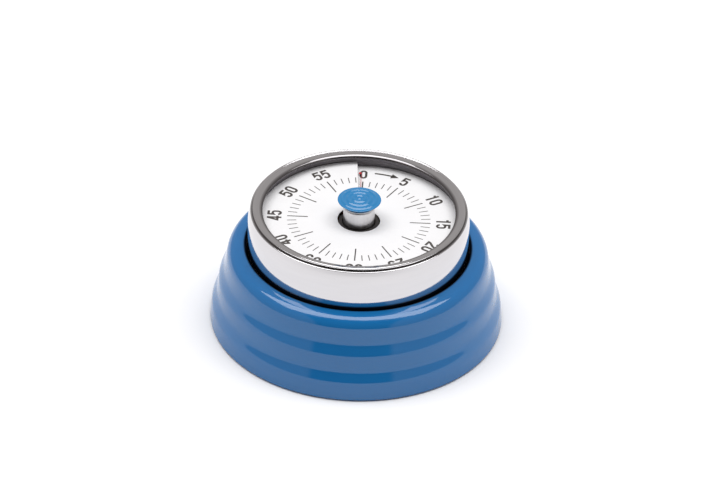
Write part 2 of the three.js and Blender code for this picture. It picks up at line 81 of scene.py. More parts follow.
# turn and elevation in degrees say where the panel hangs, seen from the timer; radiance 1 shows as white
panels = {
    "overheadSoftbox": {
        "turn": 180,
        "elevation": 86,
        "distance": 0.95,
        "size": (1.5, 0.60),
        "radiance": 3.7,
    },
}
# the room is a soft grey but for a dark opening straight in front; half width, forward and soft are parts of
# a direction of length 1
room = {
    "grey": "#8f8c8a",
    "strength": 1.6,
    "darkStrength": 0.2,
    "halfWidth": 0.5,
    "forward": 0.36,
    "soft": 0.03,
}


def hangPanel(name, p):
    turn, rise = math.radians(p["turn"]), math.radians(p["elevation"])
    away = Vector((math.sin(turn) * math.cos(rise), -math.cos(turn) * math.cos(rise), math.sin(rise)))
    light = bpy.data.lights.new(name, "AREA")
    light.shape = "RECTANGLE"
    light.size, light.size_y = p["size"]
    light.energy = p["radiance"] * math.pi * p["size"][0] * p["size"][1]
    lamp = bpy.data.objects.new(name, light)
    spot = Matrix.Translation(away * p["distance"])
    lamp.matrix_world = spot @ away.to_track_quat("Z", "Y").to_matrix().to_4x4()
    lamp.visible_camera = False
    bpy.context.scene.collection.objects.link(lamp)


placeCamera(camera)
for panelName, panel in panels.items():
    hangPanel(panelName, panel)


# one node: settings go to its own properties or its sockets, and links are socket name to a source socket,
# or to a node for that node's first output
def addNode(tree, kind, links=None, **settings):
    node = tree.nodes.new(kind)
    for key, value in settings.items():
        if hasattr(node, key):
            setattr(node, key, value)
        else:
            node.inputs[key.replace("_", " ")].default_value = value
    for key, source in (links or {}).items():
        tree.links.new(getattr(source, "outputs", [source])[0], node.inputs[key])
    return node


# radiance is the room's, less what the dark opening takes: inside its half width in x, and past its forward
# share in -y, both with a soft edge
def greyRoom(r):
    world = bpy.data.worlds.new("studioRoom")
    world.use_nodes = True
    tree = world.node_tree
    shader = tree.nodes["Background"]
    shader.inputs["Color"].default_value = toLinear(r["grey"])
    towards = addNode(tree, "ShaderNodeTexCoord").outputs["Generated"]
    parts = addNode(tree, "ShaderNodeSeparateXYZ", {"Vector": towards}).outputs
    sideways = addNode(tree, "ShaderNodeMath", {0: parts["X"]}, operation="ABSOLUTE")
    inside = addNode(tree, "ShaderNodeMapRange", {"Value": sideways}, To_Min=1.0, To_Max=0.0,
                     From_Min=r["halfWidth"] - r["soft"], From_Max=r["halfWidth"] + r["soft"])
    ahead = addNode(tree, "ShaderNodeMapRange", {"Value": parts["Y"]}, To_Min=1.0, To_Max=0.0,
                    From_Min=-r["forward"] - r["soft"], From_Max=-r["forward"] + r["soft"])
    opening = addNode(tree, "ShaderNodeMath", {0: inside, 1: ahead}, operation="MULTIPLY")
    level = addNode(tree, "ShaderNodeMapRange", {"Value": opening}, To_Min=r["strength"],
                    To_Max=r["darkStrength"])
    tree.links.new(level.outputs["Result"], shader.inputs["Strength"])
    return world


bpy.context.scene.world = greyRoom(room)
bpy.context.scene.view_settings.view_transform = "Standard"
print("studio ready")


# an empty material, its node tree and its Object coordinates
def newMaterial(name):
    material = bpy.data.materials.new(name)
    material.use_nodes = True
    tree = material.node_tree
    tree.nodes.clear()
    return material, tree, addNode(tree, "ShaderNodeTexCoord").outputs["Object"]


# gives a material its one shader, whose plain settings stand on its own sockets
def shadeWith(material, links, **settings):
    shader = addNode(material.node_tree, "ShaderNodeBsdfPrincipled", links, **settings)
    addNode(material.node_tree, "ShaderNodeOutputMaterial", {"Surface": shader})
    return material


# a colour ramp through (position, hex colour) stops, from position 0 to position 1
def tintThrough(tree, factor, *stops):
    ramp = addNode(tree, "ShaderNodeValToRGB", {"Fac": factor})
    for position, _ in stops[1:-1]:
        ramp.color_ramp.elements.new(position)
    for element, (_, tint) in zip(ramp.color_ramp.elements, stops):
        element.color = toLinear(tint)
    return ramp


# distance from the axis
def reachOf(tree, place):
    flat = addNode(tree, "ShaderNodeVectorMath", {0: place}, operation="MULTIPLY")
    flat.inputs[1].default_value = (1, 1, 0)
    return addNode(tree, "ShaderNodeVectorMath", {0: flat}, operation="LENGTH").outputs["Value"]


# Stoved enamel over drawn steel: deep colour under one wet gloss, with a faint orange peel and a few dust
# nibs. With a lip, it carries painted shade: drawn nearly black and without gloss inside the lip's radius,
# standing in for the unlit gap there.
def stovedLacquer(name, dark, light, lip=None):
    material, tree, place = newMaterial(name)
    cloud = addNode(tree, "ShaderNodeTexNoise", {"Vector": place}, Scale=45, Detail=2)  # 22 mm drifts
    links = {"Base Color": tintThrough(tree, cloud, (0, dark), (1, light))}
    if lip:
        # painted shade: inside the lip's radius the lacquer is drawn nearly black and loses its gloss
        lit = addNode(tree, "ShaderNodeMapRange", {"Value": reachOf(tree, place)},
                      From_Min=lip["from"] * mm, From_Max=lip["to"] * mm)
        mix = addNode(tree, "ShaderNodeMix", {0: lit, 7: links["Base Color"]}, data_type="RGBA")
        mix.inputs[6].default_value = toLinear(lip["tint"])  # 6 and 7 are the two colours to mix
        links["Base Color"] = mix.outputs[2]  # 2 is the mixed colour
        links["Specular IOR Level"] = addNode(tree, "ShaderNodeMapRange", {"Value": lit}, To_Max=0.5)
    peel = addNode(tree, "ShaderNodeTexNoise", {"Vector": place}, Scale=520, Detail=1)  # 2 mm dimples
    nibs = addNode(tree, "ShaderNodeTexVoronoi", {"Vector": place}, Scale=260)  # specks about 4 mm apart
    speck = addNode(tree, "ShaderNodeMapRange", {"Value": nibs}, From_Max=0.05, To_Min=1.0, To_Max=0.0)
    height = addNode(tree, "ShaderNodeMath", {0: peel, 1: speck}, operation="ADD")
    links["Normal"] = addNode(tree, "ShaderNodeBump", {"Height": height}, Strength=0.05, Distance=0.00003)
    return shadeWith(material, links, Roughness=0.06, IOR=1.62)


# Bright nickel-chrome plate: a mirror with faint polishing drifts, 11 mm long and 1 mm high.
def brightChrome():
    material, tree, place = newMaterial("brightChromePlate")
    drawn = addNode(tree, "ShaderNodeMapping", {"Vector": place}, Scale=(90, 90, 900))
    drift = addNode(tree, "ShaderNodeTexNoise", {"Vector": drawn}, Scale=1, Detail=3)
    tint = tintThrough(tree, drift, (0, "#d3d2d5"), (1, "#dad9dc"))
    rough = addNode(tree, "ShaderNodeMapRange", {"Value": drift}, To_Min=0.02, To_Max=0.06)
    return shadeWith(material, {"Base Color": tint, "Roughness": rough}, Metallic=1.0)


# The same plate on a rolled ring, tinted by radius: bright on its flat, with painted shade grey down its
# bore and dark outside, standing in for the shadowed inner edge and the unlit seam there.
def ringChromeWithPaintedShade(ring):
    material, tree, place = newMaterial("rolledRingPlateWithPaintedShade")
    low, high = ring[0][0], ring[-1][0]
    across = addNode(tree, "ShaderNodeMapRange", {"Value": reachOf(tree, place)},
                     From_Min=low * mm, From_Max=high * mm)
    # painted shade at the bore and the outer seam, laid on by radius
    tint = tintThrough(tree, across, *[((radius - low) / (high - low), hue) for radius, hue in ring])
    return shadeWith(material, {"Base Color": tint}, Metallic=1.0, Roughness=0.05)


# Turned and lightly polished steel: satin, with 0.2 mm rings round the axis that stretch its highlights.
def turnedSteel(name, dark, light, rough):
    material, tree, place = newMaterial(name)
    turned = addNode(tree, "ShaderNodeMapping", {"Vector": place}, Scale=(150, 150, 5000))
    rings = addNode(tree, "ShaderNodeTexNoise", {"Vector": turned}, Scale=1, Detail=3)
    links = {
        "Base Color": tintThrough(tree, rings, (0, dark), (1, light)),
        "Roughness": addNode(tree, "ShaderNodeMapRange", {"Value": rings}, To_Min=rough[0], To_Max=rough[1]),
        "Normal": addNode(tree, "ShaderNodeBump", {"Height": rings}, Strength=0.12, Distance=0.00002),
    }
    return shadeWith(material, links, Metallic=1.0)


# A drawn steel sleeve, dulled by handling: satin, with soft 1.6 mm marks running 17 mm along it.
def drawnSteel():
    material, tree, place = newMaterial("drawnSatinSleeve")
    drawn = addNode(tree, "ShaderNodeMapping", {"Vector": place}, Scale=(620, 620, 60))
    smears = addNode(tree, "ShaderNodeTexNoise", {"Vector": drawn}, Scale=1, Detail=3)
    tint = tintThrough(tree, smears, (0, "#bcbabb"), (1, "#f2f1f2"))
    rough = addNode(tree, "ShaderNodeMapRange", {"Value": smears}, To_Min=0.2, To_Max=0.4)
    return shadeWith(material, {"Base Color": tint, "Roughness": rough}, Metallic=1.0)


# Screen-printed white paint on sheet aluminium: chalky, with a 0.24 mm tooth and a very slight 6 mm
# mottling.
def paintedDial():
    material, tree, place = newMaterial("mattWhiteDialPaint")
    mottle = addNode(tree, "ShaderNodeTexNoise", {"Vector": place}, Scale=160, Detail=3)
    tooth = addNode(tree, "ShaderNodeTexNoise", {"Vector": place}, Scale=4200, Detail=2)
    links = {
        "Base Color": tintThrough(tree, mottle, (0, "#e9e9eb"), (1, "#efeff1")),
        "Normal": addNode(tree, "ShaderNodeBump", {"Height": tooth}, Strength=0.1, Distance=0.00002),
    }
    return shadeWith(material, links, Roughness=0.62, IOR=1.46)


# Screen ink: near black but a little thin, so it dries uneven over a millimetre or so.
def screenInk():
    material, tree, place = newMaterial("charcoalScreenInk")
    thin = addNode(tree, "ShaderNodeTexNoise", {"Vector": place}, Scale=900, Detail=3)
    tint = tintThrough(tree, thin, (0, "#3b3735"), (1, "#4f4a47"))
    return shadeWith(material, {"Base Color": tint}, Roughness=0.55)


# Dyed polyester film: saturated, smooth and slightly sheeny, with a faint calender streak 0.8 mm wide.
def dyedFilm():
    material, tree, place = newMaterial("redPolyesterFilm")
    rolled = addNode(tree, "ShaderNodeMapping", {"Vector": place}, Scale=(60, 1200, 60))
    streak = addNode(tree, "ShaderNodeTexNoise", {"Vector": rolled}, Scale=1, Detail=2)
    tint = tintThrough(tree, streak, (0, "#b32a32"), (1, "#bf373e"))
    rough = addNode(tree, "ShaderNodeMapRange", {"Value": streak}, To_Min=0.26, To_Max=0.38)
    return shadeWith(material, {"Base Color": tint, "Roughness": rough}, IOR=1.57)


# Moulded plastic, rubber or pressed ferrite: a fine 0.4 mm grain, which its roughness follows.
def mouldedGrain(name, dark, light, rough, spread=0.06):
    material, tree, place = newMaterial(name)
    grain = addNode(tree, "ShaderNodeTexNoise", {"Vector": place}, Scale=2600, Detail=2)
    links = {
        "Base Color": tintThrough(tree, grain, (0, dark), (1, light)),
        "Roughness": addNode(tree, "ShaderNodeMapRange", {"Value": grain}, To_Min=rough - spread,
                             To_Max=rough + spread),
        "Normal": addNode(tree, "ShaderNodeBump", {"Height": grain}, Strength=0.25, Distance=0.00003),
    }
    return shadeWith(material, links, IOR=1.53)


# Stamped sheet or strip, metal: straight rolling lines 0.2 mm apart and a soft sheen.
def rolledMetal(name, dark, light, rough, spread=0.07):
    material, tree, place = newMaterial(name)
    rolled = addNode(tree, "ShaderNodeMapping", {"Vector": place}, Scale=(120, 4500, 120))
    lines = addNode(tree, "ShaderNodeTexNoise", {"Vector": rolled}, Scale=1, Detail=3)
    links = {
        "Base Color": tintThrough(tree, lines, (0, dark), (1, light)),
        "Roughness": addNode(tree, "ShaderNodeMapRange", {"Value": lines}, To_Min=rough - spread,
                             To_Max=rough + spread),
    }
    return shadeWith(material, links, Metallic=1.0)


finishes = {
    "blue_lacquer": stovedLacquer("stovedBlueLacquer", "#166cad", "#1b72b3"),
    "chrome": brightChrome(),
    "satin_steel": drawnSteel(),
    "dial_print": paintedDial(),
    "grey_plastic": mouldedGrain("greyMouldedAbs", "#807c81", "#8e8a8f", 0.4),
    "red_film": dyedFilm(),
    "black_plastic": mouldedGrain("blackMouldedAbs", "#211d1c", "#2d2826", 0.45),
    "rubber": mouldedGrain("mouldedNitrileRubber", "#141414", "#1f1f1f", 0.85),
    "magnet": mouldedGrain("sinteredFerrite", "#3c3c3e", "#4a4a4c", 0.6),
    "screw_steel": turnedSteel("zincPlatedSteel", "#8f9296", "#b4b6ba", (0.3, 0.45)),
    "steel": turnedSteel("turnedArborSteel", "#85878b", "#aeb0b3", (0.24, 0.38)),
    "spring_steel": rolledMetal("bluedSpringStrip", "#4a5164", "#626a80", 0.3),
    "bell_steel": turnedSteel("polishedBellSteel", "#a8a9ab", "#cfd0d1", (0.12, 0.24)),
    "brass": rolledMetal("rolledClockBrass", "#a8873c", "#c9aa5a", 0.28),
}
ink = screenInk()
# painted shade for the shell: nearly black inside the lip, standing in for the unlit gap beside the can
lipPaintedShade = {"from": 27.0, "to": 27.4, "tint": "#07101c"}  # radii in millimetres
shellLacquerWithPaintedShade = stovedLacquer("stovedShellLacquerWithPaintedShade", "#166cad", "#1b72b3", lipPaintedShade)
# painted shade on the bezel: grey and dark tints at the bore and the outer seam, plain plate between
ringTintsAndPaintedShade = [  # radius in millimetres and tint
    (22.6, "#4f4b4d"),
    (23.1, "#7d7a7c"),
    (23.7, "#d3d2d5"),
    (25.1, "#dad9dc"),
    (25.38, "#474343"),
    (25.6, "#474343"),
]
ringPlateWithPaintedShade = ringChromeWithPaintedShade(ringTintsAndPaintedShade)
knobLacquer = stovedLacquer("stovedKnobLacquer", "#217cb6", "#2984bd")
print("finishes mixed for slots:", len(finishes))

slotOf = {row["node"]: row["material_slot"] for row in frame["record"]["subparts"]}
for nodeName, node in frame["nodes"].items():
    finish = finishes[slotOf[nodeName]]
    if not node.material_slots:
        node.data.materials.append(finish)
    for spot in node.material_slots:
        spot.material = finish


# a mesh from whole arrays of points and quads, turned so that its faces look outwards; caps are polygons of
# point numbers, and a row that repeats its last number is a triangle
def meshFrom(name, points, quads, material, caps=()):
    fans = [quads[:, [0, 1, 2]], quads[:, [0, 2, 3]]]
    fans += [np.stack([np.full(len(cap) - 2, cap[0]), cap[1:-1], cap[2:]], 1) for cap in caps]
    corners = points[np.concatenate(fans)]
    volume = np.einsum("ij,ij->i", corners[:, 0], np.cross(corners[:, 1], corners[:, 2])).sum()
    faces = [row[:3] if row[2] == row[3] else row for row in quads.tolist()]
    faces += [list(map(int, cap)) for cap in caps]
    if volume < 0:
        faces = [face[::-1] for face in faces]
    data = bpy.data.meshes.new(name)
    data.from_pydata(points.tolist(), [], faces)
    data.materials.append(material)
    data.update()
    piece = bpy.data.objects.new(name, data)
    bpy.context.scene.collection.objects.link(piece)
    return piece


# the four corner numbers of every cell of a grid, wrapped round where it closes
def gridQuads(rows, columns, closeRows, closeColumns):
    i = np.arange(rows if closeRows else rows - 1)[:, None]
    j = np.arange(columns if closeColumns else columns - 1)[None, :]
    nextI, nextJ = (i + 1) % rows, (j + 1) % columns
    cells = [i * columns + j, nextI * columns + j, nextI * columns + nextJ, i * columns + nextJ]
    return np.stack([c.ravel() for c in np.broadcast_arrays(*cells)], 1)


def shadeSmooth(piece, weighted=False):
    piece.data.polygons.foreach_set("use_smooth", np.ones(len(piece.data.polygons), bool))
    if weighted:
        fix = piece.modifiers.new("evenShading", "WEIGHTED_NORMAL")
        fix.weight = 60


# a radius and height profile carried once round the axis: a point (r, z) goes to (r cos a, r sin a, z);
# a profile that starts and ends on the axis is closed by its two poles, and any other by its first point
def turnedPiece(name, profile, material, steps=192, weighted=True):
    profile = np.asarray(profile, float) * mm
    onAxis = abs(profile[0, 0]) < 1e-9 and abs(profile[-1, 0]) < 1e-9
    angle = np.arange(steps) * 2 * math.pi / steps
    ring = profile[1:-1] if onAxis else profile
    around = np.stack([np.outer(ring[:, 0], np.cos(angle)), np.outer(ring[:, 0], np.sin(angle)),
                       np.repeat(ring[:, 1:], steps, 1)], 2)
    points = around.reshape(-1, 3)
    quads = gridQuads(len(ring), steps, not onAxis, True)
    if onAxis:
        pole, j, top = len(points), np.arange(steps), (len(ring) - 1) * steps
        points = np.vstack([points, [0, 0, profile[0, 1]], [0, 0, profile[-1, 1]]])
        first = np.stack([j, (j + 1) % steps, np.full(steps, pole), np.full(steps, pole)], 1)
        end = np.full(steps, pole + 1)
        last = np.stack([top + (j + 1) % steps, top + j, end, end], 1)
        quads = np.concatenate([quads, first, last])
    piece = meshFrom(name, points, quads, material)
    shadeSmooth(piece, weighted)
    return piece


# an outline of (r, z) points walked at an even spacing, its corners rounded by a moving average of that
# width
def eased(outline, width, spacing=0.12):
    outline = np.asarray(outline, float)
    length = np.concatenate([[0], np.cumsum(np.hypot(*np.diff(outline, axis=0).T))])
    walk = np.linspace(0, length[-1], int(length[-1] / spacing) + 1)
    line = np.stack([np.interp(walk, length, outline[:, k]) for k in range(2)], 1)
    reach = max(1, int(round(width / spacing / 2)))
    bell = np.hanning(2 * reach + 3)[1:-1]
    bell /= bell.sum()
    ends = np.stack([np.arange(reach, 0, -1)] * 2, 1)
    before = line[0] - ends * (line[1] - line[0])
    after = line[-1] + ends[::-1] * (line[-1] - line[-2])
    long = np.vstack([before, line, after])
    return np.stack([np.convolve(long[:, k], bell, "valid") for k in range(2)], 1)


def boxOf(node):
    low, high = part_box(node)
    return np.array(low) / mm, np.array(high) / mm


def finishPiece(piece, body, slot, *nodes):
    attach(piece, body)
    if nodes:
        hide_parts(*nodes)
    return piece


shellLow, shellHigh = boxOf("base_shell")
shell = {
    "footRadius": shellHigh[0],
    "foot": shellLow[2],
    "wallLean": 0.4,  # each wall leans in by this much up to its ledge
    "wallTops": (4.65, 11.3, 16.0),
    "ledgeTops": (7.3, 13.8),
    "ledgeRadii": (33.4, 31.8),
    # radius and height of the crown, from the last wall over the shoulder and down beside the can
    "crown": [(31.25, 17.1), (31.1, 17.9), (30.75, 18.7), (30.3, 19.3), (29.8, 19.72), (29.2, 20.03),
              (28.5, 20.22), (27.7, 20.38), (27.1, 20.42), (26.75, 20.2), (26.6, 19.8)],
    "crownEase": 1.0,
    "crownSpacing": 0.06,
    "crownLift": 0.1,  # the crown starts this much above the last point of the side
    "ease": 2.6,
    "sheet": 0.8,
    "insideStride": 3,  # the inside takes every third point of the outside
    "lipTurn": (0.12, -0.08),  # from the outside's last point to where the lip turns back
    "lipUnder": [(27.2, 19.6), (28.4, 19.4), (29.4, 18.7)],
    "footEdge": 0.15,
}


# three walls and two ledges as straight runs eased into each other and on towards the crown's first points,
# cut at the height of its second, then the crown; the inside is that side moved in along its normals by the
# sheet's thickness
def shellProfile(s):
    w, l, r = s["wallTops"], s["ledgeTops"], s["ledgeRadii"]
    lean = s["wallLean"]
    runs = [(s["footRadius"], s["foot"]), (s["footRadius"] - lean, w[0]), (r[0], l[0]),
            (r[0] - lean, w[1]), (r[1], l[1]), (r[1] - lean, w[2])]
    side = eased(np.vstack([runs, s["crown"][:4]]), s["ease"])
    side = side[side[:, 1] < s["crown"][1][1]]
    crown = eased(s["crown"], s["crownEase"], s["crownSpacing"])
    crown = crown[crown[:, 1] > s["crownLift"] + side[-1, 1]]
    outside = np.vstack([side, crown])
    along = np.gradient(side, axis=0)
    inward = np.stack([-along[:, 1], along[:, 0]], 1) / np.hypot(*along.T)[:, None]
    inside = (side + inward * s["sheet"])[::-s["insideStride"]]
    lip = np.vstack([outside[-1] + s["lipTurn"], s["lipUnder"]])
    foot = [[inside[-1, 0] + s["footEdge"], s["foot"]], [outside[0, 0] - s["footEdge"], s["foot"]]]
    return np.vstack([outside, lip, inside, foot])


lacqueredShell = turnedPiece("lacqueredShell", shellProfile(shell), shellLacquerWithPaintedShade, 256)
finishPiece(lacqueredShell, "case", "blue_lacquer", "base_shell")
print("shell drawn")

canLow, canHigh = boxOf("movement_can")
can = {
    "radius": canHigh[0],
    "wall": 0.6,
    "bore": 3.0,
    "foot": canLow[2],
    "top": canHigh[2] + 0.2,
    "cornerRadius": 1.0,
    # radius lost and height below the top where the wall closes in under the bead
    "closeIn": [(0.0, 3.5), (0.03, 2.7), (0.12, 1.9), (0.27, 1.1), (0.46, 0.4), (0.57, 0.0)],
    "closeEase": 0.8,
    "innerDepths": (1.2, 3.5),  # below the top, where the inside starts and ends its slope out to the wall
}


# a drawn cup: flat floor round a bore, a quarter-round corner and a straight wall that turns in a little
# at its top, closed back down its inside
def canProfile(c):
    bend = np.radians(np.linspace(-90, 0, 9))
    r, f, k = c["radius"], c["foot"], c["cornerRadius"]
    outer = np.stack([r - k + k * np.cos(bend), f + k + k * np.sin(bend)], 1)
    inner = np.stack([r - k + (k - c["wall"]) * np.cos(bend), f + k + (k - c["wall"]) * np.sin(bend)], 1)
    brim = eased([(r - lost, c["top"] - below) for lost, below in c["closeIn"]], c["closeEase"])
    narrow, (upper, lower) = r - 2 * c["wall"], c["innerDepths"]
    innerTop = [[narrow, c["top"]], [narrow, c["top"] - upper], [r - c["wall"], c["top"] - lower]]
    return np.vstack([[c["bore"], f], outer, brim, innerTop, inner[::-1], [c["bore"], f + c["wall"]]])


chromedCan = turnedPiece("chromedCan", canProfile(can), finishes["chrome"], 256)
finishPiece(chromedCan, "case", "chrome", "movement_can")

bezelLow = boxOf("bezel_ring")[0]
bezel = {
    # radius and height of the bead from its outer foot over the crest to its inner edge
    "bead": [(25.52, 30.26), (25.54, 30.4), (25.46, 30.7), (25.2, 30.93), (24.95, 30.9), (24.8, 30.74),
             (24.68, 30.74), (24.5, 30.82), (23.35, 30.5), (23.0, 30.36), (22.82, 30.16), (22.76, 29.9),
             (22.86, 29.8)],
    "ease": 0.18,
    "spacing": 0.05,
    "under": (23.9, 29.95),
    "collar": (24.3, 25.05),  # its inner and outer radius
    "collarTop": 30.2,
    "tuck": bezelLow[2],
}


# the bead's points eased into one curve, then straight back underneath and down as a collar inside the can
def bezelProfile(b):
    bead = eased(b["bead"], b["ease"], b["spacing"])
    inner, outer = b["collar"]
    return np.vstack([bead, b["under"], [inner, b["tuck"]], [outer, b["tuck"]], [outer, b["collarTop"]]])


rolledBezel = turnedPiece("rolledBezel", bezelProfile(bezel), ringPlateWithPaintedShade, 256)
finishPiece(rolledBezel, "case", "chrome", "bezel_ring")
print("can and bezel drawn")

dial = {
    "outer": 23.9,
    "hole": 5.05,
    "low": 27.0,  # height of the low lip of the slit
    "rise": 1.2,
    "lean": 0.0175,  # extra rise per millimetre towards the fifteen
    "thick": 0.25,
    "slit": -4.2,  # degrees clockwise of zero
}


# a point over the ramp: clockwise degrees from zero give the heading, the height climbs by the rise over
# one turn that starts at the slit, and a leaning sheet adds its lean times x
def dialPoint(radius, clockwise, above=0.0, lean=dial["lean"]):
    a = np.radians(clockwise)
    share = (clockwise - dial["slit"]) / 360
    x, y = radius * np.sin(a), radius * np.cos(a)
    z = dial["low"] + dial["rise"] * share + lean * x + above
    return np.stack(np.broadcast_arrays(x, y, z), -1) * mm


# a closed section of (radius, height over the ramp) points carried clockwise up the ramp and capped
def rampPiece(name, section, start, end, material, lean=dial["lean"], steps=240):
    section = np.asarray(section, float)
    turn = np.linspace(start, end, steps + 1)
    points = dialPoint(section[None, :, 0], turn[:, None], section[None, :, 1], lean)
    count = len(section)
    quads = gridQuads(steps + 1, count, False, True)
    caps = [np.arange(count), np.arange(count)[::-1] + steps * count]
    return meshFrom(name, points.reshape(-1, 3), quads, material, caps)


# a flat slab's section with its corners taken off
def softSlab(inner, outer, bottom, top, edge=0.04):
    return [(inner + edge, bottom), (outer - edge, bottom), (outer, bottom + edge), (outer, top - edge),
            (outer - edge, top), (inner + edge, top), (inner, top - edge), (inner, bottom + edge)]


dialSection = softSlab(dial["hole"], dial["outer"], -dial["thick"], 0.0)
dialSheet = rampPiece("dialSheet", dialSection, dial["slit"], dial["slit"] + 360, finishes["dial_print"])
finishPiece(dialSheet, "case", "dial_print", "dial_plate")

film = {
    "outer": 18.1,
    "inner": 6.5,
    "under": 0.665,  # how far its top lies below the ramp
    "thick": 0.12,
    "edge": 0.02,
    "start": 0.022,  # where it starts and ends, as parts of the turn from the slit
    "end": 0.996,
}
filmLow = -film["under"] - film["thick"]
filmSection = softSlab(film["inner"], film["outer"], filmLow, -film["under"], film["edge"])
filmTurns = [dial["slit"] + 360 * film[key] for key in ("start", "end")]
filmDisc = rampPiece("filmDisc", filmSection, *filmTurns, finishes["red_film"], lean=0.0)
finishPiece(filmDisc, "time_film", "red_film", "time_disc")

seatLow, seatHigh = boxOf("dial_seat")
seat = {
    "bore": 24.1,
    "outer": seatHigh[0],
    "foot": seatLow[2],
    "top": seatHigh[2],
    "shelf": 26.3,
    "shelfInner": 22.3,
    "shelfSlope": 0.3,
    "ridge": 0.05,
    "pitch": 0.62,
    "edge": 0.1,
}


# a moulded wall whose bore swells in and out as a cosine of the height, over a shelf that runs in under
# the dial
def seatProfile(s):
    z = np.linspace(s["shelf"], s["top"] - s["edge"], 40)
    bore = s["bore"] + s["ridge"] * np.cos(2 * math.pi * z / s["pitch"])
    wall = np.stack([bore, z], 1)
    shelf = [[s["shelfInner"], s["foot"]], [s["shelfInner"], s["shelf"] - s["shelfSlope"]],
             [s["bore"] - 2 * s["edge"], s["shelf"] - s["edge"]]]
    rim = [[s["bore"] + s["edge"], s["top"]], [s["outer"], s["top"]], [s["outer"], s["foot"]]]
    return np.vstack([shelf, wall, rim])


ridgedSeat = turnedPiece("ridgedSeat", seatProfile(seat), finishes["grey_plastic"], 224)
finishPiece(ridgedSeat, "case", "grey_plastic", "dial_seat")

marks = {
    "major": {"from": 12.1, "to": 17.0, "wide": 0.30},
    "minor": {"from": 14.8, "to": 17.0, "wide": 0.21},
    "numeral": {"radius": 20.05, "high": 3.45, "wide": 1.85, "stroke": 0.58, "gap": 0.30},
    "arrow": {
        "radius": 20.8,
        "from": 7.4,  # degrees clockwise, as is "to"
        "to": 21.2,
        "wide": 0.52,
        "head": 1.9,
        "tipShare": 0.55,  # how much of the head stands past the end of the line
        "spread": 0.92,
        "blunt": 0.03,
    },
    "film": 0.02,
}


def arc(cx, cy, rx, ry, start, end, count=14):
    a = np.radians(np.linspace(start, end, count))
    return np.stack([cx + rx * np.cos(a), cy + ry * np.sin(a)], 1)


# centre lines of a condensed digit w wide and h high, drawn with a pen s wide, from its lower left
def digitStrokes(digit, w, h, s):
    e = s / 2
    l, r, b, t, c = e, w - e, e, h - e, w / 2
    bowl = (r - l) / 2
    if digit == "0":
        side = bowl * 1.15
        upper, lower = arc(c, t - side, bowl, side, 0, 180), arc(c, b + side, bowl, side, 180, 360)
        return [np.vstack([upper, lower, [[r, t - side]]])]
    if digit == "1":
        stem = w * 0.62
        flag = t - 0.52
        return [np.array([[stem, 0], [stem, h]]), np.array([[stem - e, flag], [stem - w * 0.42, flag]])]
    if digit == "2":
        side = bowl * 1.1
        hook = arc(c, t - side, bowl, side, 180, -28)
        return [np.vstack([hook, [[l + 0.1, b + 0.42], [l, b], [w, b]]])]
    if digit == "3":
        side = (t - b) / 4
        upper = arc(c, t - side, bowl, side, 175, -80)
        lower = arc(c, b + side * 1.05, bowl, side * 1.05, 80, -175)
        return [np.vstack([upper, lower])]
    if digit == "4":
        stem, bar = w * 0.66, h * 0.27
        slant = np.array([[stem - 0.1, h - 0.15], [l * 0.75, bar], [w, bar]])
        return [np.array([[stem, 0], [stem, h]]), slant]
    side = bowl * 1.12
    lowBowl = arc(c, b + side, bowl, side, 0, -172)
    upBowl = arc(c, h * 0.635 - bowl * 0.75, bowl, bowl * 0.75, 128, 0, 9)
    return [np.vstack([[[w - 0.1, t], [l + 0.1, t], [l + 0.02, h * 0.56]], upBowl, lowBowl])]


# both edges of a pen line: each point moved half the width to either side, and mitred at bends
def penLine(path, wide):
    step = np.diff(path, axis=0)
    step /= np.hypot(*step.T)[:, None]
    normal = np.stack([-step[:, 1], step[:, 0]], 1)
    first, last = np.vstack([normal[:1], normal]), np.vstack([normal, normal[-1:]])
    miter = first + last
    miter /= np.maximum((miter * first).sum(1), 0.35)[:, None]
    return path + miter * wide / 2, path - miter * wide / 2


# every tick, numeral and the arrow as flat strips in dial millimetres, then laid on the ramp
def dialMarks():
    strips = []
    for minute in range(60):
        tick = marks["major" if minute % 5 == 0 else "minor"]
        line = np.array([[0, tick["from"]], [0, tick["to"]]])
        strips.append((penLine(line, tick["wide"]), minute * 6.0))
    n = marks["numeral"]
    for five in range(12):
        text = str(five * 5)
        whole = len(text) * n["wide"] + (len(text) - 1) * n["gap"]
        for place, digit in enumerate(text):
            left = place * (n["wide"] + n["gap"]) - whole / 2
            for path in digitStrokes(digit, n["wide"], n["high"], n["stroke"]):
                moved = path + [left, n["radius"] - n["high"] / 2]
                strips.append((penLine(moved, n["stroke"]), five * 30.0))
    a = marks["arrow"]
    along = np.radians(np.linspace(a["from"], a["to"], 16))
    strips.append((penLine(np.stack([np.sin(along), np.cos(along)], 1) * a["radius"], a["wide"]), 0.0))
    tip = along[-1] + a["head"] * a["tipShare"] / a["radius"]
    neck = tip - a["head"] / a["radius"]
    ends = [np.array([[np.sin(v), np.cos(v)]]) * (a["radius"] + off)
            for v, off in ((neck, a["spread"]), (neck, -a["spread"]), (tip, a["blunt"]), (tip, -a["blunt"]))]
    strips.append(((np.vstack([ends[0], ends[2]]), np.vstack([ends[1], ends[3]])), 0.0))
    points, quads, start = [], [], 0
    for (leftEdge, rightEdge), heading in strips:
        h = math.radians(heading)
        spin = np.array([[math.cos(h), -math.sin(h)], [math.sin(h), math.cos(h)]])
        flat = np.stack([leftEdge, rightEdge], 1).reshape(-1, 2) @ spin
        radius = np.hypot(*flat.T)
        clockwise = np.degrees(np.arctan2(flat[:, 0], flat[:, 1]))
        clockwise = np.where(clockwise < dial["slit"], clockwise + 360, clockwise)
        points.append(dialPoint(radius, clockwise, marks["film"]))
        quads.append(gridQuads(len(leftEdge), 2, False, False) + start)
        start += len(flat)
    return np.vstack(points), np.concatenate(quads)


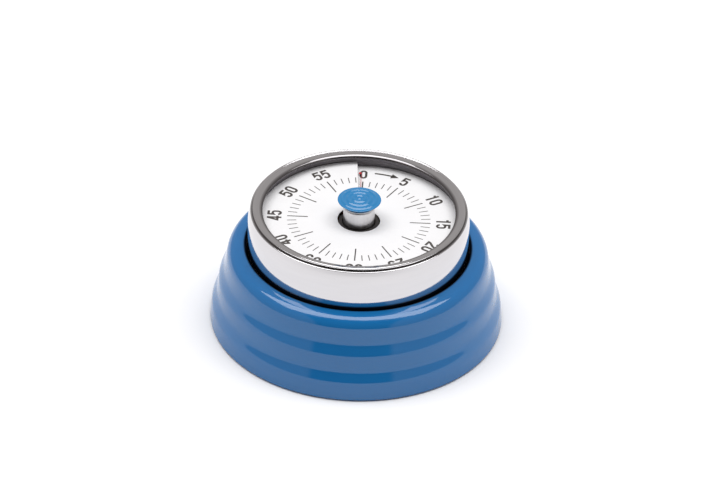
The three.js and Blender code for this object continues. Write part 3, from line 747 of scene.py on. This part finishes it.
markPoints, markQuads = dialMarks()
dialPrint = meshFrom("dialPrint", markPoints, markQuads, ink)
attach(dialPrint, "case")
print("dial drawn, strips of print:", len(markQuads))

pointerLow, pointerHigh = boxOf("pointer")
pointer = {
    "heading": -1.15,  # degrees clockwise of zero
    "tipHeading": -2.4,
    "root": 5.1,
    "reach": 19.6,
    "wide": 0.24,
    "tip": 0.36,  # radius of its round end
    "tipOut": 19.9,
}


# one flat outline, a narrow strip that ends in a round tip, raised to a sheet between its low and high faces
def pointerOutline(p):
    heading, tipHeading = math.radians(p["heading"]), math.radians(p["tipHeading"])
    along = np.array([math.sin(heading), math.cos(heading)])
    across = np.array([math.cos(heading), -math.sin(heading)])
    centre = np.array([math.sin(tipHeading), math.cos(tipHeading)]) * p["tipOut"]
    half = p["wide"] / 2
    neck = np.stack([along * p["reach"] + across * half, along * p["reach"] - across * half])
    bearing = [math.atan2(*(point - centre)[::-1]) for point in neck]
    bend = np.linspace(bearing[0], bearing[1] + 2 * math.pi, 26)
    lobe = centre + p["tip"] * np.stack([np.cos(bend), np.sin(bend)], 1)
    root = np.stack([along * p["root"] - across * half, along * p["root"] + across * half])
    return np.vstack([root, lobe])


outline = pointerOutline(pointer)
count = len(outline)
levels = [np.column_stack([outline, np.full(count, z)]) for z in (pointerLow[2], pointerHigh[2])]
pointerCaps = [np.arange(count)[::-1], np.arange(count) + count]
pointerHand = meshFrom("pointerHand", np.vstack(levels) * mm, gridQuads(2, count, False, True),
                       finishes["red_film"], pointerCaps)
finishPiece(pointerHand, "time_film", "red_film", "pointer")

capLow, capHigh = boxOf("knob_cap")
cap = {
    "radius": capHigh[0],
    "top": capHigh[2],
    "foot": capLow[2],
    "rim": 33.35,
    "dome": 0.34,
    "ripple": 0.11,
    "pitch": 1.34,  # radius from one crest to the next
    "crests": 3.45,  # how many pitches out the ripple dies away
    "fade": 8,  # how sharply it does so
    "rimRadius": 0.42,
    "skirt": 4.2,
    "skirtIn": 0.4,
    "skirtLift": 0.02,
}


# a shallow dome, lower by the square of the radius, with a cosine ripple on it that dies out at the rim,
# then a half-round rim and a cone back under to the stem
def capProfile(c):
    r = np.linspace(0, c["radius"] - c["rimRadius"], 66)
    fade = 1 / (1 + np.exp((r / c["pitch"] - c["crests"]) * c["fade"]))
    ripple = c["ripple"] * np.cos(2 * math.pi * r / c["pitch"]) * fade
    z = c["top"] - c["ripple"] - c["dome"] * (r / c["radius"]) ** 2 + ripple
    bend = np.radians(np.linspace(80, -50, 14))
    rimHigh = z[-1] - c["rim"]
    rim = np.stack([r[-1] + c["rimRadius"] * np.cos(bend), c["rim"] + rimHigh * np.sin(bend)], 1)
    skirt = [c["skirt"], c["foot"] + c["skirtLift"]]
    under = [skirt, [c["skirt"] - c["skirtIn"], c["foot"]], [0, c["foot"]]]
    return np.vstack([np.stack([r, z], 1), rim, under])


knobCap = turnedPiece("rippledCap", capProfile(cap), knobLacquer, 160, weighted=False)
finishPiece(knobCap, "knob", "blue_lacquer", "knob_cap")

stemLow, stemHigh = boxOf("knob_stem")
stem = {
    "radius": 3.73,
    "bore": 1.6,
    "foot": stemLow[2],
    "top": stemHigh[2],
    "flare": 0.45,
    "flareHigh": 0.9,
    "flareDrop": 0.12,  # how far below the top the flare ends
    "edge": 0.1,
}


# a straight turned barrel whose last millimetre flares out as a raised cosine
def stemProfile(s):
    flareTop = s["top"] - s["flareDrop"]
    z = np.linspace(s["top"] - s["flareHigh"] - s["flareDrop"], flareTop, 12)
    share = (z - z[0]) / (z[-1] - z[0])
    flare = s["radius"] + s["flare"] * (1 - np.cos(math.pi * share)) / 2
    barrel = np.linspace(s["foot"], z[0] - s["edge"], 10)
    side = np.vstack([np.stack([np.full(10, s["radius"]), barrel], 1), np.stack([flare, z], 1)])
    rim = [[flare[-1] - s["edge"], s["top"]], [s["bore"], s["top"]]]
    return np.vstack([[[s["bore"], s["foot"]]], side, rim])


knobStem = turnedPiece("flaredStem", stemProfile(stem), finishes["satin_steel"], 128)
finishPiece(knobStem, "knob", "satin_steel", "knob_stem")
print("knob drawn")

table = {"half": 3.0, "dark": "#fbfbfc", "light": "#fcfcfd"}


# White seamless paper: dead flat, with the faintest mottling, 33 mm across.
def seamlessPaper(t):
    material, tree, place = newMaterial("whiteSeamlessPaper")
    mottle = addNode(tree, "ShaderNodeTexNoise", {"Vector": place}, Scale=30, Detail=2)
    tint = tintThrough(tree, mottle, (0, t["dark"]), (1, t["light"]))
    return shadeWith(material, {"Base Color": tint}, Roughness=0.9)


tableCorners = [(x * table["half"], y * table["half"], 0) for x, y in ((-1, -1), (1, -1), (1, 1), (-1, 1))]
tableData = bpy.data.meshes.new("studioTable")
tableData.from_pydata(tableCorners, [], [(0, 1, 2, 3)])
tableData.materials.append(seamlessPaper(table))
studioTable = bpy.data.objects.new("studioTable", tableData)
bpy.context.scene.collection.objects.link(studioTable)
